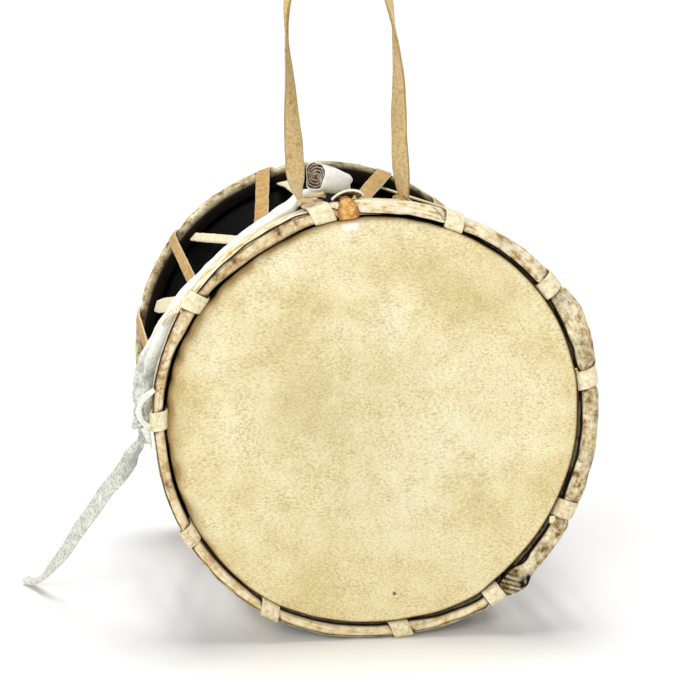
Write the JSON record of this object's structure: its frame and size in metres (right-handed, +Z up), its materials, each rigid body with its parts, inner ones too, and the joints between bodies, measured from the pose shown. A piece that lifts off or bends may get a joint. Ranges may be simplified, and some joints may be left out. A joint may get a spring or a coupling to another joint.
{
  "type": "hourglass hand drum",
  "caption": "Small hourglass hand drum with hide heads on cane hoops, zigzag leather lacing, a white leather belt with its tail, and a suede hanging strap.",
  "frame": {"origin": "on the floor below the middle of the drum's box, midway between the two heads", "axes": "+Y along the drum's axis from the near head to the far head, +Z up, +X to the right of someone who faces the near head"},
  "size_m": [0.233, 0.2011, 0.277],
  "materials": {
    "stretched_hide": "dry matte goat hide, cream to pale yellow with pores",
    "bent_cane": "worn cane, tan with darker scuffs",
    "blackened_wood": "dull black stain",
    "pale_thong": "pale cream raw leather",
    "tan_thong": "ochre suede side of the thong",
    "white_leather": "soft white leather, matte",
    "tan_suede": "golden tan speckled suede"
  },
  "bodies": {
    "root": {"belt_tail": "white_leather", "far_bowl": "blackened_wood", "far_head": "stretched_hide", "far_hoop": "bent_cane", "hanging_strap": "tan_suede", "lacing_back_01": "tan_thong", "lacing_back_02": "tan_thong", "lacing_back_03": "tan_thong", "lacing_back_04": "tan_thong", "lacing_back_05": "tan_thong", "lacing_back_06": "tan_thong", "lacing_back_07": "tan_thong", "lacing_back_08": "tan_thong", "lacing_back_09": "tan_thong", "lacing_back_10": "tan_thong", "lacing_back_11": "tan_thong", "lacing_back_12": "tan_thong", "lacing_out_01": "pale_thong", "lacing_out_02": "pale_thong", "lacing_out_03": "pale_thong", "lacing_out_04": "pale_thong", "lacing_out_05": "pale_thong", "lacing_out_06": "pale_thong", "lacing_out_07": "pale_thong", "lacing_out_08": "pale_thong", "lacing_out_09": "pale_thong", "lacing_out_10": "pale_thong", "lacing_out_11": "pale_thong", "lacing_out_12": "pale_thong", "near_bowl": "blackened_wood", "near_head": "stretched_hide", "near_hoop": "bent_cane", "strap_knot_left": "tan_suede", "strap_knot_right": "tan_suede", "tail_knot": "white_leather", "tail_tie": "white_leather", "top_loop": "white_leather", "waist": "blackened_wood", "white_belt": "white_leather"}
  },
  "joints": []
}
